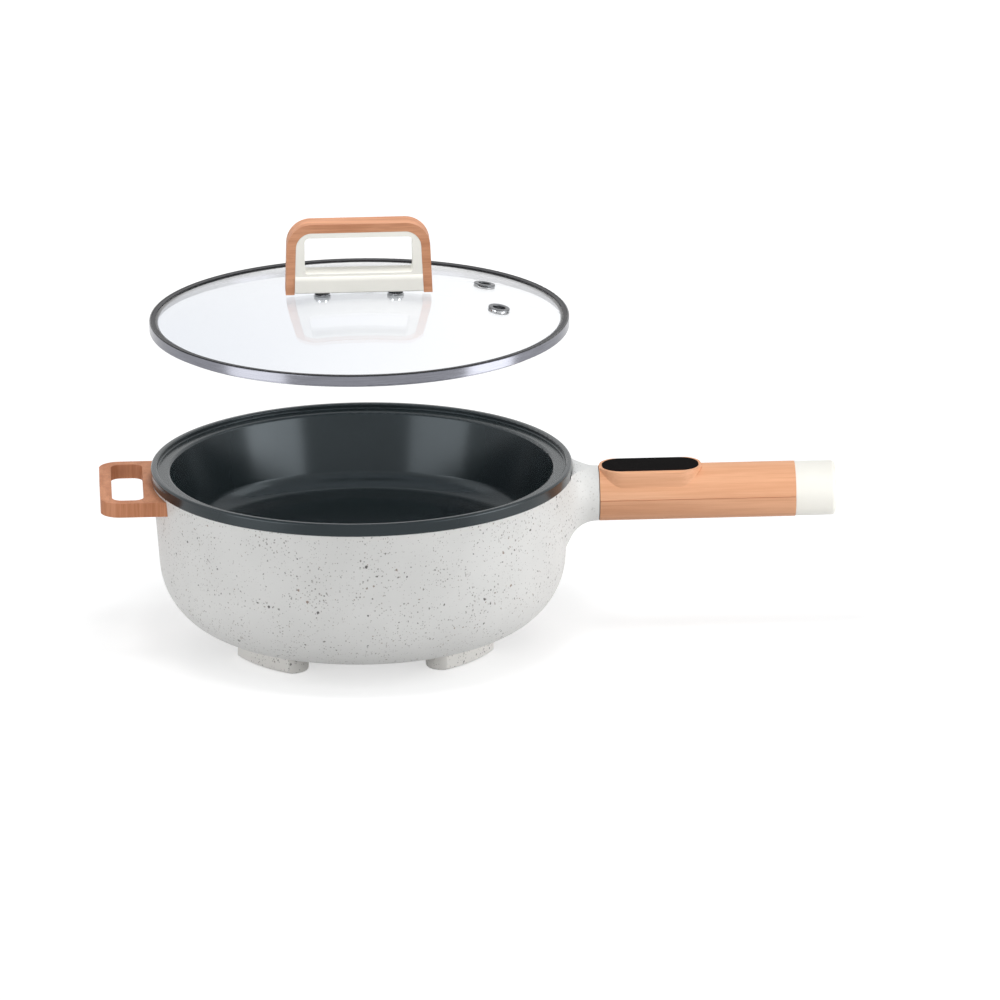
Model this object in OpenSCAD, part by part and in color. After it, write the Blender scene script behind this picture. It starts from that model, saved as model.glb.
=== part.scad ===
// Electric skillet with a lift-off glass lid, a long control handle and a helper handle.
// Millimetres. The origin is on the pot's axis at table level, +Z is up, +X points along the long handle.

/* [Lid] */
// Diameter of the lid where it drops into the rim
lid_d = 280; // [250:1:310]
// Play between the lid band and the lip of the pot, each side
lid_gap = 0.6; // [0.4:0.1:1.5]
// Height of the steel band
band_h = 7; // [6.6:0.1:10]
// Sheet thickness of the steel band
band_t = 0.8; // [0.5:0.1:1]
// How far the band folds in over the glass
band_lap = 1.4; // [1.2:0.1:3]
// How far the band reaches out over the lip of the pot
band_reach = 4; // [3:0.1:4.2]
// Depth of the band's skirt inside the rim
band_skirt = 2; // [1:0.1:2.4]
// Width of the dark seal between band and glass
seal_w = 2.6; // [2:0.1:4]
// Thickness of the lid glass
glass_t = 4; // [3:0.1:4.5]
// Rise of the glass dome above its flat edge
dome_rise = 18; // [10:0.5:30]
// Height that the lid is held above the rim
lift_shown = 98; // [60:1:150]

/* [Lid handle] */
// Width of the wooden bail
grip_w = 97; // [80:1:120]
// Height of the wooden bail
grip_h = 48.5; // [42:0.5:65]
// Depth of the wooden bail
grip_depth = 17.5; // [14:0.5:22]
// Thickness of the wooden bail
grip_t = 6; // [4:0.5:9]
// Outer corner radius of the wooden bail
grip_corner_r = 17; // [12:0.5:20]
// How far each leg of the bail leans out at its foot
grip_splay = 1.8; // [0:0.1:3]
// How far the ends of the bail reach below the base bar
grip_drop = 1; // [0:0.5:2]
// Thickness of the liner's legs
core_leg_t = 5.5; // [3:0.5:7]
// Thickness of the liner under the top of the bail
core_top_t = 3.5; // [2:0.5:6]
// Corner radius of the opening in the liner
core_corner_r = 3.5; // [2:0.5:6]
// Height of the base bar
core_base_h = 13.5; // [9:0.5:16]
// Depth of the base bar
core_base_depth = 20; // [18:0.5:26]
// Distance between the two lid screws
post_spacing = 50; // [40:1:60]
// Diameter of the spacers between the base bar and the glass
spacer_d = 10.5; // [9:0.5:16]
// Height of the spacers above the top of the dome
spacer_h = 2.2; // [1.6:0.1:4]
// Thickness of the washers under the glass
washer_t = 1.8; // [1.4:0.1:3]
// Shaft diameter of the lid screws
lid_screw_d = 5; // [4:0.5:6]

/* [Steam vents] */
// Outside diameter of a vent eyelet
vent_d = 14.8; // [12:0.2:18]
// Diameter of the hole in a vent eyelet
vent_hole_d = 8.6; // [5:0.2:9]
// Distance of the vents in from the edge of the lid
vent_inset = 43; // [35:1:55]
// Bearing of the rear vent
vent_rear_angle = 25; // [15:1:60]
// Bearing of the front vent
vent_front_angle = -11; // [-60:1:0]

/* [Pot] */
// Height of the rim above the table
rim_z = 127; // [124:1:150]
// Width of the lip round the lid seat
lip_w = 4.4; // [3:0.1:7]
// Depth of the lid seat below the rim
lip_h = 3.6; // [2.5:0.1:5]
// Width of the lid seat
seat_w = 8.6; // [7:0.1:12]
// Height of the rim's outer skirt
skirt_h = 8.6; // [7.5:0.1:12]
// Wall thickness of the pot
pot_t = 2.2; // [1.6:0.1:3]
// Depth of the pot from rim to floor
pot_depth = 55; // [45:1:60]
// Radius between the pot's wall and floor
pot_corner_r = 16; // [12:1:24]
// Lean of the pot's wall from upright
pot_lean = 15; // [10:0.5:16]

/* [Body shell] */
// Wall thickness of the shell
shell_t = 2.6; // [2:0.1:3.2]
// Height of the flat bottom above the table
base_z = 12.4; // [10:0.2:16]
// Radius of the rounded bottom corner
body_corner_r = 50; // [40:1:56]
// Lean of the shell's wall from upright
body_lean = 4; // [2:0.5:6]
// How far the rim's skirt stands proud of the shell
skirt_proud = 0.8; // [0.3:0.1:2]
// Height of the thicker part of the shell's wall under the rim
brim_h = 12; // [8:0.5:16]

/* [Base and feet] */
// Radius of the base cover
cover_r = 98; // [96.5:0.5:104]
// Thickness of the base cover
cover_t = 2.6; // [2.2:0.1:3.2]
// Width of the shell's inner flange
flange_w = 16; // [14:0.5:22]
// Thickness of the shell's inner flange
flange_t = 3; // [2:0.5:5]
// Distance of a foot's middle from the axis
foot_r = 84.5; // [80:0.5:86]
// Width of a foot
foot_w = 22; // [18:0.5:24]
// Angle that a foot sweeps from end to end
foot_sweep = 42; // [36:1:50]
// Radius of a foot's bowed ends
foot_end_r = 12.6; // [12.4:0.2:20]
// Bearing of the first foot
foot_angle = 39; // [30:0.5:60]
// Radius of a foot's lower edge
foot_edge_r = 2; // [1:0.5:4]
// Width of a foot's silicone pad
pad_w = 12; // [8:0.5:13]
// How far a pad stands out of its foot
pad_proud = 0.6; // [0.5:0.1:2]
// Depth of a pad in its foot
pad_depth = 1.5; // [1:0.1:3]
// Number of slots in the base cover
slot_count = 12; // [6:1:16]
// Length of a slot
slot_l = 18; // [10:1:24]
// Width of a slot
slot_w = 3; // [2:0.5:4]
// Distance of the slots' middles from the axis
slot_r = 45; // [40:1:52]

/* [Heater] */
// Thickness of the heat plate
plate_t = 10; // [8:0.5:12]
// Diameter of the tubular element
element_d = 8; // [6:0.5:9]
// Radius of the element's ring
element_r = 60; // [54:1:66]
// Angle left open between the element's ends
element_gap = 40; // [30:1:60]
// Length of the element's upright ends
element_leg = 8; // [4:1:10]
// Length of the element's terminal pins
terminal_l = 14; // [10:1:16]
// Diameter of the element's terminal pins
terminal_d = 3; // [2:0.5:4]
// Space between heat plate and heat shield
shield_drop = 14; // [12:1:18]
// Sheet thickness of the heat shield
shield_t = 0.8; // [0.5:0.1:1.5]
// Height of the heat shield's turned-up edge
shield_edge = 10; // [6:1:11]
// Diameter of the bosses that carry the heat shield
shield_boss_d = 9; // [8:0.5:12]
// Distance of those bosses from the axis
shield_boss_r = 34; // [30:1:40]
// Diameter of the thermostat's cap
thermostat_d = 24; // [18:1:30]
// Diameter of the thermal fuse
fuse_d = 6; // [5:0.5:7]
// Length of the thermal fuse
fuse_l = 16; // [12:1:20]

/* [Fasteners] */
// Shaft diameter of the machine screws
screw_d = 4; // [3:0.5:4.5]
// Shaft diameter of the small screws
small_screw_d = 3; // [2.5:0.5:3.5]
// Diameter of the posts that carry the pot
post_d = 12; // [11:0.5:14]
// Distance of the posts from the axis
post_r = 92; // [91:0.5:94]
// Length of the pot's own bosses
pot_boss_h = 10; // [8:0.5:14]
// Thickness of a post above the head of its screw
post_seat_t = 8; // [5:0.5:10]
// Play round a screw in its hole, and between parts that slide together
fit_gap = 0.2; // [0.1:0.05:0.3]

/* [Long handle] */
// Diameter of the handle
handle_d = 38.2; // [36:0.2:42]
// Depth of the handle's axis below the rim
handle_drop = 26; // [25:0.5:30]
// Length of the neck beyond the rim
neck_l = 18.5; // [16:0.5:26]
// Radius of the flare where the neck meets the body
flare_r = 20; // [14:0.5:22]
// Lean of the flare's skirt where it runs into the body
flare_lean = 28; // [25:1:32]
// How far below the handle's axis the flare runs into the body
flare_drop = 36; // [33:0.5:37]
// Length of the wooden part of the handle
handle_l = 135; // [128:1:160]
// Wall thickness of the handle's shells
handle_t = 3; // [2.4:0.1:3.4]
// Length of the neck's spigot inside the handle
spigot_l = 20; // [16:1:24]
// Bore of the neck for the leads
neck_bore_d = 25; // [22:0.5:26]
// How far the flare's skirt goes on inside the body
neck_root = 14; // [12:0.5:16]
// Width of the shadow line between neck and handle
joint_gap = 0.6; // [0.3:0.1:0.9]
// Width and depth of the seam line along the handle
seam_w = 0.6; // [0.3:0.1:0.8]
// Diameter of the end cap
cap_d = 37.6; // [35.5:0.1:38]
// Length of the end cap
cap_l = 28; // [26:0.5:36]
// Radius of the end cap's outer edge
cap_edge_r = 3; // [1:0.5:5]
// Length of the end cap's tongue inside the handle
tongue_l = 10; // [6:1:12]
// Diameter of a screw boss in the handle
boss_d = 8; // [7:0.5:9]

/* [Control panel] */
// Length of the panel lens
panel_l = 66.5; // [60:0.5:70]
// Width of the panel lens
panel_w = 30; // [26:0.5:31]
// Corner radius of the panel lens
panel_corner_r = 13.5; // [4:0.5:14]
// Thickness of the panel lens
panel_t = 2; // [1.5:0.1:2.2]
// How far the lens stands proud of its deck
panel_proud = 0.3; // [0.1:0.1:0.6]
// Width of the deck's border round the lens
deck_border = 2.2; // [1.5:0.1:3]
// Height of the deck above the crest of the handle
deck_rise = 0.5; // [0.3:0.1:2]
// Radius of the deck's upper edge
deck_edge_r = 1.5; // [0.5:0.1:2]
// Thickness of the circuit boards
board_t = 1.6; // [1:0.1:2]
// Width of the circuit boards
board_w = 26; // [24:0.5:27]

/* [Power inlet] */
// Width of the inlet's body
inlet_w = 26.6; // [25:0.1:27]
// Height of the inlet's body
inlet_h = 18.6; // [17:0.1:19]
// Length of the inlet's body
inlet_l = 22; // [20:0.5:24]
// Wall of the inlet's body round its socket
inlet_wall = 1.3; // [1:0.1:1.6]
// Depth of the inlet's socket
socket_l = 17; // [14:0.5:18]
// Distance between the two outer pins
pin_spacing = 14; // [12:0.5:15]
// Diameter of the insulated leads
lead_d = 2.6; // [2:0.1:3]

/* [Helper handle] */
// Reach of the helper handle beyond the rim
helper_reach = 35.3; // [32:0.5:45]
// Width of the helper handle
helper_w = 99; // [94:1:106]
// Thickness of the helper handle
helper_t = 10; // [9:0.5:13]
// Depth of the helper handle's top below the rim
helper_drop = 10.5; // [9.5:0.5:12]
// Width of the helper handle's outer bar
helper_bar = 8; // [6:0.5:11]
// Length of the finger gap outwards
helper_gap_l = 21.8; // [18:0.5:23]
// Width of the finger gap
helper_gap_w = 84; // [60:1:84]
// Outer corner radius of the helper handle
helper_corner_r = 14; // [8:1:18]
// Corner radius of the finger gap
helper_gap_r = 7; // [3:0.5:10]
// Distance of the helper handle's screws from its middle
helper_screw_y = 30; // [26:1:34]
// Length of the helper handle's screws
helper_screw_l = 11; // [9:0.5:13]

/* [Hidden] */
$fn = 144;
// Segments of the dome's long arcs
dome_fn = 720;
// Overrun of a cut past the face that it opens
over = 1;
// Step that keeps the end of a bent tube inside its neighbour
step = 0.04;

// Pot radii and levels
seat_r = lid_d / 2 + lid_gap;
rim_r = seat_r + lip_w;
well_r = seat_r - seat_w;
seat_z = rim_z - lip_h;
seat_under_z = seat_z - pot_t;
floor_z = rim_z - pot_depth;
pot_under_z = floor_z - pot_t;
skirt_z = rim_z - skirt_h;
pot_boss_z = pot_under_z - pot_boss_h;

// Shell radii and levels
shell_r = rim_r - skirt_proud;
cover_top_z = base_z + cover_t;
flange_top_z = cover_top_z + flange_t;
flange_in_r = cover_r - flange_w;
tongue_out_r = seat_r - fit_gap;
tongue_in_r = tongue_out_r - 0.8 * shell_t;
thick_z = skirt_z - brim_h;
function wall_r(z) = shell_r - (skirt_z - z) * tan(body_lean);

// Heater levels
plate_r = post_r - post_d / 2 - 2;
plate_under_z = pot_under_z - plate_t;
shield_z = plate_under_z - shield_drop;
bend_r = element_d;
bend_d = element_d - 2 * step;
leg_x = element_r * cos(element_gap / 2) + bend_r * sin(element_gap / 2);
leg_y = element_r * sin(element_gap / 2) - bend_r * cos(element_gap / 2);
leg_end_z = plate_under_z - bend_r - element_leg;
pin_end_z = leg_end_z - terminal_l;

// Long handle stations
handle_z = rim_z - handle_drop;
handle_r = handle_d / 2;
handle_in_r = handle_r - handle_t;
spigot_r = handle_in_r - fit_gap;
crest_z = handle_z + handle_r;
handle_x0 = rim_r + neck_l;
handle_x1 = handle_x0 + handle_l;
spigot_x1 = handle_x0 + spigot_l;
cap_x1 = handle_x1 + cap_l;
deck_l = panel_l + 2 * deck_border;
deck_w = panel_w + 2 * deck_border;
deck_z = crest_z + deck_rise;
panel_x = handle_x0 + deck_l / 2;
lens_under_z = deck_z + panel_proud - panel_t;
touch_x0 = spigot_x1 + 2;
touch_x1 = handle_x0 + deck_l - 4;
touch_z = lens_under_z - 2.5;
ledge = 3;
neck_screw_x = handle_x0 + spigot_l / 2;
front_screw_x = handle_x0 + deck_l + boss_d / 2;
rear_screw_x = handle_x1 - tongue_l - boss_d / 2 - over;
power_x0 = front_screw_x + boss_d / 2 + 2;
power_x1 = rear_screw_x - boss_d / 2 - 2;
power_z = handle_z - 4;
block_l = 8;
block_h = 9;
inlet_x0 = cap_x1 - inlet_l;
pin_x0 = inlet_x0 - 4;
lead_y = pin_spacing / 2;
lead_z = handle_z;

// Helper handle levels
helper_z1 = rim_z - helper_drop;
helper_z0 = helper_z1 - helper_t;
helper_mid_z = (helper_z0 + helper_z1) / 2;
helper_x0 = -(rim_r + helper_reach);
helper_gap_x0 = helper_x0 + helper_bar;
helper_gap_x1 = helper_gap_x0 + helper_gap_l;
helper_seat_x = -sqrt(pow(tongue_in_r, 2) - pow(helper_screw_y, 2)) + over;

// Lid levels
lid_z = rim_z + lift_shown;
lid_r = lid_d / 2 + band_reach;
glass_top_z = lid_z + band_h - band_t;
glass_under_z = glass_top_z - glass_t;
seal_out_r = lid_r - band_lap - fit_gap / 2;
seal_in_r = seal_out_r - seal_w;
dome_edge_r = seal_in_r - over;
dome_r = (pow(dome_edge_r, 2) + pow(dome_rise, 2)) / (2 * dome_rise);
dome_top_z = glass_top_z + dome_rise;
dome_centre_z = dome_top_z - dome_r;
washer_d = spacer_d + over;
washer_reach = (post_spacing + washer_d) / 2;
washer_top_z = dome_centre_z + sqrt(pow(dome_r - glass_t, 2) - pow(washer_reach, 2)) - fit_gap / 4;
washer_z = washer_top_z - washer_t;
grip_z = dome_top_z + spacer_h;
lid_screw_hole_d = lid_screw_d + 1;
vent_r = lid_d / 2 - vent_inset;
vent_neck_d = (vent_d + vent_hole_d) / 2;
vent_flange_t = 0.9;
liner_w = grip_w - 2 * (grip_t + fit_gap / 2);
liner_h = grip_h - grip_t - fit_gap / 2;

body_colour = "#e9e7e0";
pot_colour = "#33383a";
wood_colour = "#d79b70";
cream_colour = "#f3f0e6";
steel_colour = "#c4c8cb";
dark_colour = "#1c1b1b";

// Outlines with rounded corners, given as [x, y, corner radius] in counter-clockwise order

function unit(v) = v / norm(v);
function before(xy, i) = xy[(i + len(xy) - 1) % len(xy)];
function after(xy, i) = xy[(i + 1) % len(xy)];
function turn(xy, i) = cross(xy[i] - before(xy, i), after(xy, i) - xy[i]);
function half_angle(xy, i) = acos(unit(before(xy, i) - xy[i]) * unit(after(xy, i) - xy[i])) / 2;
function bisector(xy, i) = unit(unit(before(xy, i) - xy[i]) + unit(after(xy, i) - xy[i]));
function arc_centre(xy, i, r) = xy[i] + bisector(xy, i) * r / sin(half_angle(xy, i));
function arc_start(xy, i, r) = xy[i] + unit(before(xy, i) - xy[i]) * r / tan(half_angle(xy, i));
function arc_end(xy, i, r) = xy[i] + unit(after(xy, i) - xy[i]) * r / tan(half_angle(xy, i));
function is_outer(xy, i, r) = r > 0 && turn(xy, i) > 0;
function is_inner(xy, i, r) = r > 0 && turn(xy, i) < 0;

module corner_kite(xy, i, r, past_corner, past_centre) {
    c = arc_centre(xy, i, r);
    polygon([
        arc_start(xy, i, r),
        xy[i] + (xy[i] - c) * past_corner,
        arc_end(xy, i, r),
        c + (c - xy[i]) * past_centre
    ]);
}

module rounded_polygon(points) {
    n = len(points);
    xy = [for (p = points) [p[0], p[1]]];
    outline = [for (i = [0 : n - 1])
        let (r = points[i][2])
        each (is_inner(xy, i, r)
            ? [arc_start(xy, i, r), arc_centre(xy, i, r), arc_end(xy, i, r)]
            : [xy[i]])];
    difference() {
        polygon(outline);
        for (i = [0 : n - 1]) {
            r = points[i][2];
            if (is_outer(xy, i, r))
                difference() {
                    corner_kite(xy, i, r, 0.2, 0);
                    translate(arc_centre(xy, i, r)) circle(r = r);
                }
            if (is_inner(xy, i, r))
                intersection() {
                    corner_kite(xy, i, r, 0, 0.2);
                    translate(arc_centre(xy, i, r)) circle(r = r);
                }
        }
    }
}

module rounded_rectangle(l, w, r) {
    rounded_polygon([
        [-l / 2, -w / 2, r], [l / 2, -w / 2, r], [l / 2, w / 2, r], [-l / 2, w / 2, r]
    ]);
}

// Placing helpers

module at_bearing(r, angle) {
    rotate([0, 0, angle]) translate([r, 0, 0]) children();
}

module at_feet() {
    for (a = [foot_angle, 180 - foot_angle, 180 + foot_angle, 360 - foot_angle])
        rotate([0, 0, a]) children();
}

module at_base_screws() {
    for (a = [0 : 90 : 270]) at_bearing((flange_in_r + cover_r) / 2, a) children();
}

module at_shield_bosses() {
    for (a = [60 : 120 : 300]) at_bearing(shield_boss_r, a) children();
}

module at_lid_screws() {
    for (s = [-1, 1]) translate([s * post_spacing / 2, 0, 0]) children();
}

module at_helper_screws() {
    for (s = [-1, 1]) translate([helper_seat_x, s * helper_screw_y, helper_mid_z]) children();
}

module along_x() {
    rotate([0, 90, 0]) children();
}

// Round-headed screw pointing up from its seat at z = 0
module screw(d, l, head_d, head_h) {
    translate([0, 0, -head_h]) cylinder(d = head_d, h = head_h);
    cylinder(d = d, h = l);
}

// Tube through a list of points, round at each bend
module tube(points, d) {
    for (i = [0 : len(points) - 2]) {
        run = points[i + 1] - points[i];
        translate(points[i])
            rotate([0, acos(run[2] / norm(run)), atan2(run[1], run[0])])
                cylinder(d = d, h = norm(run));
    }
    for (i = [1 : 1 : len(points) - 2]) translate(points[i]) sphere(d = 1.15 * d);
}

// Space inside the body's outer face, moved in by an inset and closed at a level
module body_outline(inset, top_z) {
    foot_in = wall_r(base_z + inset) - inset / cos(body_lean);
    top_in = wall_r(top_z) - inset / cos(body_lean);
    rounded_polygon([
        [0, base_z + inset, 0],
        [foot_in, base_z + inset, body_corner_r - inset],
        [top_in, top_z, 0],
        [0, top_z, 0]
    ]);
}

module body_space(inset, top_z) {
    rotate_extrude() body_outline(inset, top_z);
}

// Body shell with its flared neck

module shell_profile() {
    difference() {
        body_outline(0, skirt_z);
        body_outline(shell_t, skirt_z + over);
        square([cover_r + fit_gap, cover_top_z]);
    }
    difference() {
        translate([flange_in_r, cover_top_z]) square([flange_w + 2 * shell_t, flange_t]);
        difference() {
            translate([cover_r, 0]) square([rim_r, rim_z]);
            body_outline(shell_t / 2, skirt_z);
        }
    }
    polygon([
        [wall_r(thick_z) - shell_t / 2, thick_z],
        [shell_r - shell_t / 2, skirt_z],
        [tongue_out_r, skirt_z],
        [tongue_out_r, seat_under_z],
        [tongue_in_r, seat_under_z],
        [tongue_in_r, skirt_z - brim_h / 2]
    ]);
}

module neck_flare() {
    out_r = flare_drop + neck_root;
    corner_x = wall_r(handle_z - flare_drop) + (flare_drop - handle_r) * tan(flare_lean);
    end_x = corner_x - (out_r - handle_r) * tan(flare_lean);
    intersection() {
        translate([0, 0, handle_z]) along_x() rotate_extrude()
            rounded_polygon([
                [0, end_x - neck_root, 0],
                [out_r, end_x - neck_root, 0],
                [out_r, end_x, 0],
                [handle_r, corner_x, flare_r],
                [handle_r, handle_x0 - joint_gap, 0],
                [0, handle_x0 - joint_gap, 0]
            ]);
        translate([0, -2 * out_r, handle_z - 2 * out_r])
            cube([handle_x0, 4 * out_r, crest_z + 0.4 - handle_z + 2 * out_r]);
    }
}

module outer_shell() {
    color(body_colour) difference() {
        union() {
            rotate_extrude() shell_profile();
            difference() {
                neck_flare();
                body_space(shell_t / 2, skirt_z + 2 * skirt_h);
                translate([0, 0, skirt_z]) cylinder(r = rim_r + fit_gap, h = 2 * skirt_h);
            }
            translate([handle_x0 - 3 * over, 0, handle_z]) along_x()
                cylinder(r = spigot_r, h = spigot_l + 3 * over);
            at_feet() translate([post_r, 0, flange_top_z - over])
                cylinder(d = post_d, h = pot_boss_z - flange_top_z + over);
            at_base_screws() translate([0, 0, flange_top_z - over])
                cylinder(d = 3 * small_screw_d, h = 6 + over);
            at_helper_screws() rotate([0, -90, 0]) cylinder(d = 2.5 * screw_d, h = 4);
        }
        translate([tongue_in_r - 2 * shell_t, 0, handle_z]) along_x()
            cylinder(d = neck_bore_d, h = spigot_x1);
        at_feet() translate([post_r, 0, cover_top_z - over])
            cylinder(d = screw_d + 2 * fit_gap, h = pot_boss_z);
        at_feet() translate([post_r, 0, cover_top_z - over])
            cylinder(d = 2 * screw_d + 1, h = pot_boss_z - post_seat_t - cover_top_z + over);
        at_base_screws() translate([0, 0, cover_top_z - over])
            cylinder(d = small_screw_d + 2 * fit_gap, h = 8 + over);
        at_helper_screws() rotate([0, -90, 0]) translate([0, 0, -over])
            cylinder(d = screw_d + 2 * fit_gap, h = 4 * shell_t);
        translate([neck_screw_x, 0, handle_z - handle_r])
            cylinder(d = small_screw_d + 2 * fit_gap, h = handle_r);
    }
}

// Pot with its stepped rim

module pot_profile() {
    lean_under = well_r + pot_t / cos(pot_lean);
    rounded_polygon([
        [0, pot_under_z, 0],
        [lean_under - (seat_z - pot_under_z) * tan(pot_lean), pot_under_z, pot_corner_r + pot_t],
        [lean_under - pot_t * tan(pot_lean), seat_under_z, 0],
        [seat_r, seat_under_z, 0],
        [seat_r, skirt_z, 0],
        [rim_r, skirt_z, 0.8],
        [rim_r, rim_z, 1.6],
        [seat_r, rim_z, 1.2],
        [seat_r, seat_z, 0.8],
        [well_r, seat_z, 2],
        [well_r - (seat_z - floor_z) * tan(pot_lean), floor_z, pot_corner_r],
        [0, floor_z, 0]
    ]);
}

module inner_pot() {
    color(pot_colour) difference() {
        union() {
            rotate_extrude() pot_profile();
            at_feet() translate([post_r, 0, pot_boss_z]) cylinder(d = post_d, h = pot_boss_h + pot_t / 2);
            at_shield_bosses() translate([0, 0, shield_z])
                cylinder(d = shield_boss_d, h = pot_under_z - shield_z + pot_t / 2);
        }
        at_feet() translate([post_r, 0, pot_boss_z - over])
            cylinder(d = screw_d + 2 * fit_gap, h = pot_boss_h);
        at_shield_bosses() translate([0, 0, shield_z - over])
            cylinder(d = screw_d + 2 * fit_gap, h = shield_drop);
    }
}

// Heater

module heat_plate() {
    color("#a9acae") difference() {
        translate([0, 0, plate_under_z]) cylinder(r = plate_r, h = plate_t);
        element_ring(element_d + fit_gap);
        for (s = [-1, 1]) at_element_end(s) rotate([s * 90, 0, 0])
            cylinder(d = element_d + 4 * fit_gap, h = bend_r + element_d);
        translate([0, 0, plate_under_z - over])
            cylinder(d = thermostat_d + 2 * fit_gap, h = plate_t + 2 * over);
        at_shield_bosses() translate([0, 0, plate_under_z - over])
            cylinder(d = shield_boss_d + 2 * fit_gap, h = plate_t + 2 * over);
    }
}

// Ring of the element, open over its gap
module element_ring(d) {
    translate([0, 0, plate_under_z]) rotate([0, 0, element_gap / 2])
        rotate_extrude(angle = 360 - element_gap)
            translate([element_r, 0]) circle(d = d);
}

// End of the ring on one side of its gap
module at_element_end(side) {
    rotate([0, 0, side * element_gap / 2]) translate([element_r, 0, plate_under_z]) children();
}

module heating_element() {
    color("#8f8378") {
        element_ring(element_d);
        for (s = [-1, 1]) at_element_end(s) {
            rotate([-s * 90, 0, 0]) cylinder(d = bend_d, h = over);
            translate([0, 0, -bend_r]) rotate([90 + s * 90, -90, 0]) rotate_extrude(angle = 90)
                translate([bend_r, 0]) circle(d = bend_d);
            translate([0, -s * bend_r, -bend_r - over]) cylinder(d = bend_d, h = over);
            translate([0, -s * bend_r, -bend_r - element_leg])
                cylinder(d = element_d, h = element_leg);
            translate([0, -s * bend_r, -bend_r - element_leg - terminal_l])
                cylinder(d = terminal_d, h = terminal_l + over);
        }
    }
}

module heat_shield() {
    edge_r = plate_r - element_d;
    color("#b9bcbe") difference() {
        rotate_extrude() rounded_polygon([
            [0, shield_z - shield_t, 0],
            [edge_r, shield_z - shield_t, 3],
            [edge_r + shield_edge / 3, shield_z + shield_edge, 0],
            [edge_r + shield_edge / 3 - shield_t, shield_z + shield_edge, 0],
            [edge_r - shield_t, shield_z, 3 - shield_t],
            [0, shield_z, 0]
        ]);
        at_shield_bosses() translate([0, 0, shield_z - shield_t - over])
            cylinder(d = screw_d + 2 * fit_gap, h = shield_t + 2 * over);
        for (s = [-1, 1]) translate([leg_x, s * leg_y, shield_z - shield_t - over])
            cylinder(d = element_d + 4, h = shield_t + 2 * over);
    }
}

module shield_screws() {
    color(steel_colour) at_shield_bosses() translate([0, 0, shield_z - shield_t])
        screw(screw_d, shield_drop - 4, 2 * screw_d, 2.4);
}

module thermostat() {
    color("#d8d2c4") {
        translate([0, 0, shield_z]) cylinder(d = thermostat_d / 2, h = shield_drop + over);
        translate([0, 0, plate_under_z]) cylinder(d = thermostat_d, h = plate_t);
    }
}

module thermal_fuse() {
    fuse_y = (shield_boss_r + element_r - element_d) / 2;
    drop = fuse_d / 2 + over;
    color("#e8e4da") translate([0, fuse_y, plate_under_z]) {
        translate([-fuse_l / 2, 0, -drop]) along_x() cylinder(d = fuse_d, h = fuse_l);
        translate([-fuse_d / 2, -fuse_d / 2, -drop]) cube([fuse_d, fuse_d, drop]);
    }
}

// Insulated leads from the power board down between pot and shell to the heater's terminals
module heater_leads() {
    low_z = pin_end_z + terminal_l / 3;
    turn_z = pot_under_z - 8;
    pot_out = well_r + pot_t / cos(pot_lean) - (seat_z - handle_z) * tan(pot_lean);
    gap_x = (pot_out + wall_r(turn_z) - shell_t / cos(body_lean)) / 2;
    color("#b0282a") for (s = [-1, 1])
        tube([
            [power_x0, s * lead_y, lead_z],
            [gap_x, s * lead_y, lead_z],
            [gap_x, s * lead_y, turn_z],
            [post_r + post_d, s * leg_y, low_z],
            [leg_x + terminal_d / 2, s * leg_y, low_z]
        ], lead_d);
}

module pot_screws() {
    color(steel_colour) at_feet() translate([post_r, 0, pot_boss_z - post_seat_t])
        screw(screw_d, post_seat_t + pot_boss_h - 2, 2 * screw_d, 2.4);
}

// Base cover with its four feet

// Bar bent round the axis between two levels: a ring's section, kept over a sector with bowed ends
module bent_bar(w, z0, z1, edge_r) {
    far = foot_r + foot_w;
    end_r = foot_end_r - (foot_w - w) / 2;
    half = foot_sweep / 2 - foot_end_r / foot_r * 180 / PI;
    intersection() {
        rotate_extrude() rounded_polygon([
            [foot_r - w / 2, z0, edge_r],
            [foot_r + w / 2, z0, edge_r],
            [foot_r + w / 2, z1, 0],
            [foot_r - w / 2, z1, 0]
        ]);
        union() {
            translate([0, 0, z0 - over]) linear_extrude(height = z1 - z0 + 2 * over)
                polygon([[0, 0], [far * cos(half), -far * sin(half)], [far * cos(half), far * sin(half)]]);
            for (s = [-1, 1]) rotate([0, 0, s * half]) translate([foot_r, 0, 0]) rotate_extrude()
                rounded_polygon([
                    [0, z0 - 0.3, 0],
                    [end_r, z0 - 0.3, edge_r],
                    [end_r, z1 + over, 0],
                    [0, z1 + over, 0]
                ]);
        }
    }
}

module pad_bar(play) {
    bent_bar(pad_w + 2 * play, 0, pad_proud + pad_depth, 0);
}

module base_cover() {
    color(body_colour) difference() {
        union() {
            intersection() {
                body_space(0, skirt_z);
                cylinder(r = cover_r, h = cover_top_z);
            }
            at_feet() bent_bar(foot_w, pad_proud, base_z + cover_t / 2, foot_edge_r);
        }
        at_feet() pad_bar(fit_gap / 2);
        for (i = [0 : slot_count - 1]) at_bearing(slot_r, i * 360 / slot_count)
            translate([0, 0, base_z - over]) linear_extrude(height = cover_t + 2 * over)
                rounded_rectangle(slot_l, slot_w, slot_w / 2 - 0.05);
        at_base_screws() translate([0, 0, base_z - over])
            cylinder(d = small_screw_d + 2 * fit_gap, h = cover_t + 2 * over);
        at_base_screws() translate([0, 0, base_z - over])
            cylinder(d = 2 * small_screw_d + 2 * fit_gap, h = cover_t / 2 + over);
    }
}

module foot_pads() {
    color("#8b8d8e") at_feet() pad_bar(0);
}

module base_screws() {
    color(steel_colour) at_base_screws() translate([0, 0, base_z + cover_t / 2])
        screw(small_screw_d, cover_t / 2 + 6, 2 * small_screw_d, cover_t / 2);
}

// Long handle

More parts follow.
